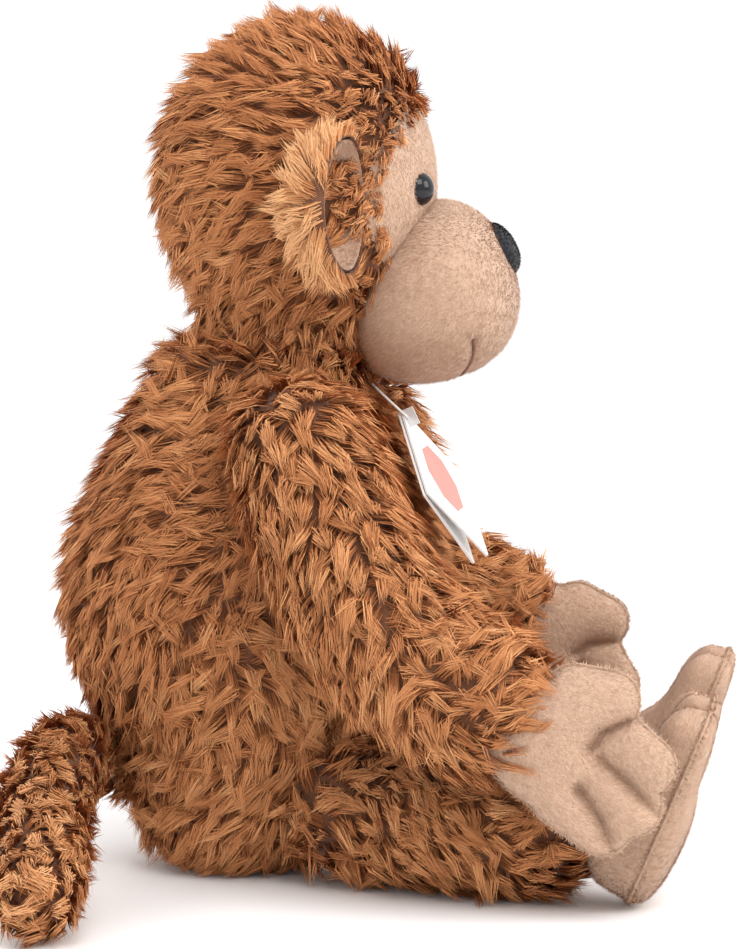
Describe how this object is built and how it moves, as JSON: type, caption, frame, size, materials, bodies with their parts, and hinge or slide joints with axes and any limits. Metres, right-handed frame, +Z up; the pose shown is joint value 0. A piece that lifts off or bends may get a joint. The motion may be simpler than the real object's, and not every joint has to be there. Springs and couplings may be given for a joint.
{
  "type": "stuffed monkey",
  "caption": "Seated long-armed plush monkey with jointed soft limbs, cupped ears, smooth face, hands and feet, a curled tail and a folded hang tag.",
  "frame": {"origin": "on the surface it sits on, under the middle of the toy's own box", "axes": "+Z up; the monkey faces -Y, its right side is at -X, and the tail lies out behind towards -X"},
  "size_m": [0.2804, 0.2452, 0.306],
  "materials": {
    "plush": "long tufted pile",
    "velboa": "short smooth pile",
    "fibre_fill": "loose polyester fibre",
    "eye_plastic": "polished",
    "washer_plastic": "moulded",
    "nose_velour": "short dense pile",
    "thread": "twisted thread",
    "card": "coated card",
    "tape": "woven satin tape"
  },
  "bodies": {
    "torso": {"torso_front_plush": "plush", "torso_back_plush": "plush", "torso_stuffing": "fibre_fill", "tag_tape": "tape"},
    "neck": {"neck_plush": "plush"},
    "head": {"head_right_plush": "plush", "head_left_plush": "plush", "head_stuffing": "fibre_fill", "face_panel": "velboa", "muzzle_plush": "velboa", "muzzle_stuffing": "fibre_fill", "nose_pad": "nose_velour", "mouth_stitch": "thread", "eye_right": "eye_plastic", "eye_left": "eye_plastic", "eye_washer_right": "washer_plastic", "eye_washer_left": "washer_plastic"},
    "tag_back": {"tag_back_leaf": "card"},
    "tag_front": {"tag_front_leaf": "card"},
    "tail_base": {"tail_base": "plush"},
    "tail_tip": {"tail_tip": "plush"},
    "ear_right": {"ear_right_plush": "plush", "ear_right_lining": "velboa"},
    "upper_arm_right": {"upper_arm_right": "plush"},
    "forearm_right": {"forearm_right": "plush"},
    "hand_right": {"hand_right_back": "velboa", "hand_right_palm": "velboa"},
    "thigh_right": {"thigh_right": "plush"},
    "shin_right": {"shin_right": "plush"},
    "foot_right": {"foot_right_instep": "velboa", "foot_right_sole": "velboa"},
    "ear_left": {"ear_left_plush": "plush", "ear_left_lining": "velboa"},
    "upper_arm_left": {"upper_arm_left": "plush"},
    "forearm_left": {"forearm_left": "plush"},
    "hand_left": {"hand_left_back": "velboa", "hand_left_palm": "velboa"},
    "thigh_left": {"thigh_left": "plush"},
    "shin_left": {"shin_left": "plush"},
    "foot_left": {"foot_left_instep": "velboa", "foot_left_sole": "velboa"}
  },
  "joints": [
    {"name": "neck_turn", "type": "hinge", "parent": "torso", "child": "neck", "pos_m": [0.02282, 0.03924, 0.17], "axis": [0, 0, 1], "range_deg": [-32, 18]},
    {"name": "head_nod", "type": "hinge", "parent": "neck", "child": "head", "pos_m": [0.02282, 0.03924, 0.198], "axis": [0.9877, 0.1564, 0], "range_deg": [-18, 4]},
    {"name": "shoulder_right", "type": "hinge", "parent": "torso", "child": "upper_arm_right", "pos_m": [-0.03718, 0.02224, 0.157], "axis": [-1, 0, 0], "range_deg": [-12, 60]},
    {"name": "elbow_right", "type": "hinge", "parent": "upper_arm_right", "child": "forearm_right", "pos_m": [-0.06118, -0.01176, 0.097], "axis": [-1, 0, 0], "range_deg": [-8, 28]},
    {"name": "wrist_right", "type": "hinge", "parent": "forearm_right", "child": "hand_right", "pos_m": [-0.07818, -0.06576, 0.065], "axis": [-1, 0, 0], "range_deg": [-15, 15]},
    {"name": "ear_fold_right", "type": "hinge", "parent": "head", "child": "ear_right", "pos_m": [-0.02563, 0.02549, 0.24], "axis": [0, 0, -1], "range_deg": [0, 14], "stiffness_Nm_per_rad": 0.02},
    {"name": "hip_right", "type": "hinge", "parent": "torso", "child": "thigh_right", "pos_m": [-0.01718, 0.00724, 0.028], "axis": [-1, 0, 0], "range_deg": [-40, 8]},
    {"name": "knee_right", "type": "hinge", "parent": "thigh_right", "child": "shin_right", "pos_m": [-0.02918, -0.03276, 0.0275], "axis": [-1, 0, 0], "range_deg": [-40, 20]},
    {"name": "ankle_right", "type": "hinge", "parent": "shin_right", "child": "foot_right", "pos_m": [-0.03718, -0.07876, 0.026], "axis": [-1, 0, 0], "range_deg": [-18, 14]},
    {"name": "shoulder_left", "type": "hinge", "parent": "torso", "child": "upper_arm_left", "pos_m": [0.08282, 0.02224, 0.157], "axis": [1, 0, 0], "range_deg": [-60, 12]},
    {"name": "elbow_left", "type": "hinge", "parent": "upper_arm_left", "child": "forearm_left", "pos_m": [0.11082, 0.00124, 0.098], "axis": [-1, 0, 0], "range_deg": [-8, 28]},
    {"name": "wrist_left", "type": "hinge", "parent": "forearm_left", "child": "hand_left", "pos_m": [0.12082, -0.04476, 0.074], "axis": [-1, 0, 0], "range_deg": [-15, 15]},
    {"name": "ear_fold_left", "type": "hinge", "parent": "head", "child": "ear_left", "pos_m": [0.07314, 0.04114, 0.24], "axis": [0, 0, 1], "range_deg": [0, 14], "stiffness_Nm_per_rad": 0.02},
    {"name": "hip_left", "type": "hinge", "parent": "torso", "child": "thigh_left", "pos_m": [0.06282, 0.00724, 0.028], "axis": [-1, 0, 0], "range_deg": [-40, 8]},
    {"name": "knee_left", "type": "hinge", "parent": "thigh_left", "child": "shin_left", "pos_m": [0.07482, -0.03276, 0.0275], "axis": [-1, 0, 0], "range_deg": [-40, 20]},
    {"name": "ankle_left", "type": "hinge", "parent": "shin_left", "child": "foot_left", "pos_m": [0.08282, -0.07876, 0.026], "axis": [-1, 0, 0], "range_deg": [-18, 14]},
    {"name": "tail_swing", "type": "hinge", "parent": "torso", "child": "tail_base", "pos_m": [0.01882, 0.09624, 0.034], "axis": [0, 0, 1], "range_deg": [-24, 0]},
    {"name": "tail_curl", "type": "hinge", "parent": "tail_base", "child": "tail_tip", "pos_m": [-0.03518, 0.10524, 0.044], "axis": [0, 0, 1], "range_deg": [-30, 20]},
    {"name": "tag_swing", "type": "hinge", "parent": "torso", "child": "tag_back", "pos_m": [0.02282, -0.00376, 0.165], "axis": [1, 0, 0], "range_deg": [-35, 0]},
    {"name": "tag_open", "type": "hinge", "parent": "tag_back", "child": "tag_front", "pos_m": [-0.00829, -0.01837, 0.13751], "axis": [-0.7071, -0.3117, -0.6347], "range_deg": [0, 40]}
  ]
}
